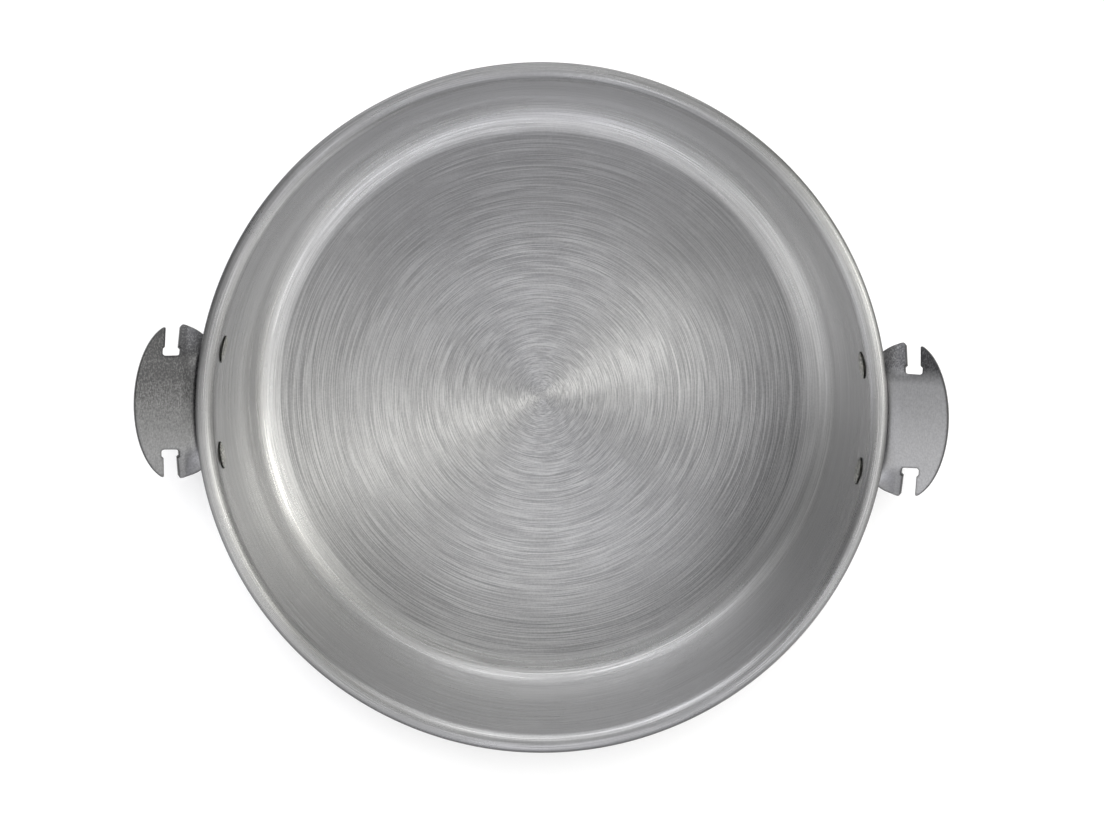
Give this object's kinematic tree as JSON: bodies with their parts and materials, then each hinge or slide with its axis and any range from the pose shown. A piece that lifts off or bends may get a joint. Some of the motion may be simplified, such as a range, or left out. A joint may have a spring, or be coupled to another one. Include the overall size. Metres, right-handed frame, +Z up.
{
  "type": "cooking pot",
  "caption": "Low straight-sided aluminium cooking pot with a flat turned-out lip and riveted slotted side handles.",
  "frame": {"origin": "centre of the flat underside, on the surface that the pot stands on", "axes": "+Z up along the pot's axis, +X through the right handle, +Y to the back"},
  "size_m": [0.4442, 0.381, 0.1581],
  "materials": {
    "pot_aluminium": "circular brushed",
    "handle_steel": "satin",
    "rivet_metal": "polished"
  },
  "bodies": {
    "root": {"pot_body": "pot_aluminium", "handle_right": "handle_steel", "handle_left": "handle_steel", "rivet_right_front": "rivet_metal", "rivet_right_back": "rivet_metal", "rivet_left_front": "rivet_metal", "rivet_left_back": "rivet_metal"}
  },
  "joints": []
}
